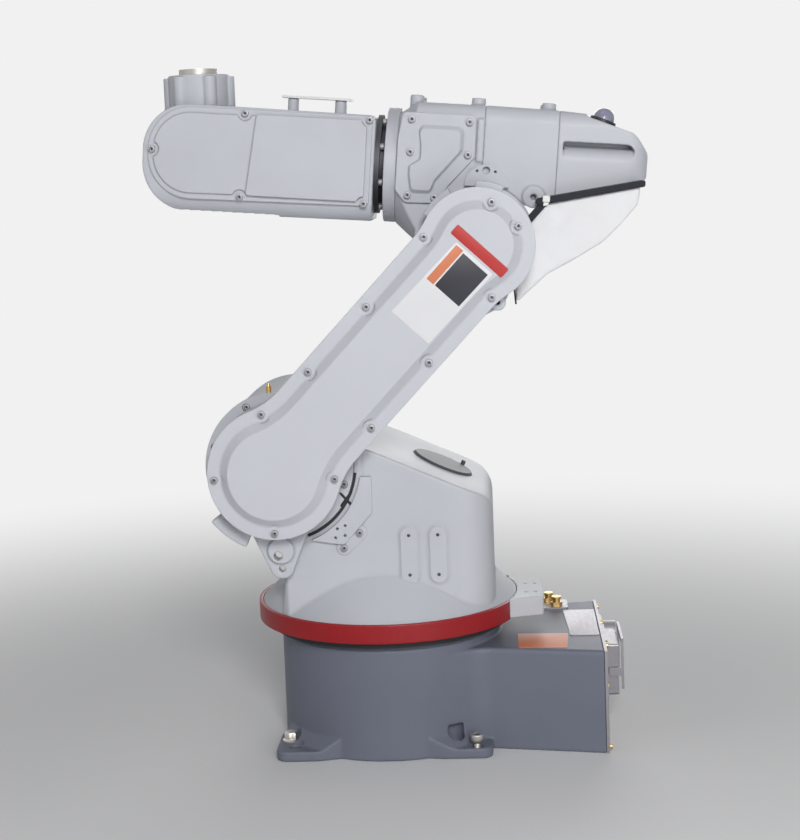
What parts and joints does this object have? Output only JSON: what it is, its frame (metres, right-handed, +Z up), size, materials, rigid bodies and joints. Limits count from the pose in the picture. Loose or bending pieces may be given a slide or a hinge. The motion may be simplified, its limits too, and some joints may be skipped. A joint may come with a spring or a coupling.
{
  "type": "articulated robot arm",
  "caption": "Jointed robot arm: round base with a rear connector box, swivelling column, covered lower arm, forearm housing with belt-driven wrist and a tool flange.",
  "frame": {"origin": "on the swivel axis, at the mounting plane under the base", "axes": "+X the way the arm faces, +Y its left, the side of the lower arm, +Z up along the swivel axis"},
  "size_m": [0.5038, 0.286, 0.6939],
  "materials": {
    "base_paint": "satin",
    "arm_paint": "satin",
    "cover_paint": "satin",
    "red_paint": "gloss",
    "gear_grey": "satin",
    "bright_metal": "satin",
    "steel": "satin",
    "gold_screws": "satin",
    "brass": "satin",
    "panel_metal": "satin",
    "pulley_metal": "satin",
    "motor_black": "matte",
    "black_rubber": "matte",
    "dark_cap": "matte",
    "lamp_black": "matte",
    "lamp_smoke": "gloss",
    "white_cloth": "matte",
    "black_strap": "matte",
    "white_nylon": "satin"
  },
  "bodies": {
    "base": {"base_casting": "base_paint", "jack_bolts_front": "steel", "jack_bolts_rear": "steel", "swivel_reducer": "gear_grey", "swivel_bearing": "steel", "dust_seal": "black_rubber", "rear_panel": "panel_metal", "panel_screws": "gold_screws", "power_connector": "panel_metal", "signal_connector": "panel_metal", "connector_lever": "panel_metal", "fitting_plate": "panel_metal", "air_fittings": "brass"},
    "column": {"column_casting": "arm_paint", "swivel_band": "red_paint", "rear_lug": "arm_paint", "shoulder_reducer": "gear_grey", "shoulder_screws": "steel", "swivel_motor": "motor_black", "shoulder_motor": "motor_black", "roof_cap": "dark_cap", "stopper_block": "arm_paint", "ear_plate": "arm_paint", "ear_plate_screws": "steel", "sensor_cable": "black_rubber", "grease_nipple": "brass"},
    "lower_arm": {"lower_arm_casting": "arm_paint", "lower_arm_cover": "cover_paint", "arm_cover_screws": "steel", "arm_harness": "black_rubber"},
    "forearm": {"housing_front": "arm_paint", "housing_middle": "arm_paint", "rear_cap": "arm_paint", "roll_flange": "gear_grey", "side_plate": "arm_paint", "side_plate_screws": "steel", "hook_plate": "arm_paint", "elbow_reducer": "gear_grey", "elbow_motor": "motor_black", "wrist_motors": "motor_black", "lamp_ring": "lamp_black", "lamp_dome": "lamp_smoke", "cable_cover": "white_cloth", "cover_strap": "black_strap", "cable_tie": "white_nylon"},
    "wrist_arm": {"wrist_casting": "arm_paint", "wrist_cover_near": "arm_paint", "wrist_cover_far": "arm_paint", "wrist_cover_screws": "steel", "roll_shaft": "gear_grey", "roll_bolts": "steel", "guard_bar": "steel", "wrist_belts": "black_rubber", "drive_pulleys": "pulley_metal"},
    "bend_unit": {"bend_unit": "arm_paint", "bend_cover": "arm_paint", "driven_pulleys": "pulley_metal"},
    "tool": {"tool_flange": "bright_metal"}
  },
  "joints": [
    {"name": "swivel", "type": "hinge", "parent": "base", "child": "column", "pos_m": [0, 0, 0], "axis": [0, 0, 1], "range_deg": [-170, 170]},
    {"name": "shoulder", "type": "hinge", "parent": "column", "child": "lower_arm", "pos_m": [0.0985, 0, 0.298], "axis": [0, 1, 0], "range_deg": [-41.4, 133.6]},
    {"name": "elbow", "type": "hinge", "parent": "lower_arm", "child": "forearm", "pos_m": [-0.10494, 0, 0.51163], "axis": [0, -1, 0], "range_deg": [-34, 215]},
    {"name": "roll", "type": "hinge", "parent": "forearm", "child": "wrist_arm", "pos_m": [0.17536, 0, 0.60793], "axis": [0.9957, 0, 0.0924], "range_deg": [-180, 180]},
    {"name": "bend", "type": "hinge", "parent": "wrist_arm", "child": "bend_unit", "pos_m": [0.17536, 0, 0.60793], "axis": [0, -1, 0], "range_deg": [-209.7, 40.3]},
    {"name": "tool_turn", "type": "hinge", "parent": "bend_unit", "child": "tool", "pos_m": [0.17536, 0, 0.69393], "axis": [0, 0, 1], "range_deg": [-360, 360]}
  ]
}
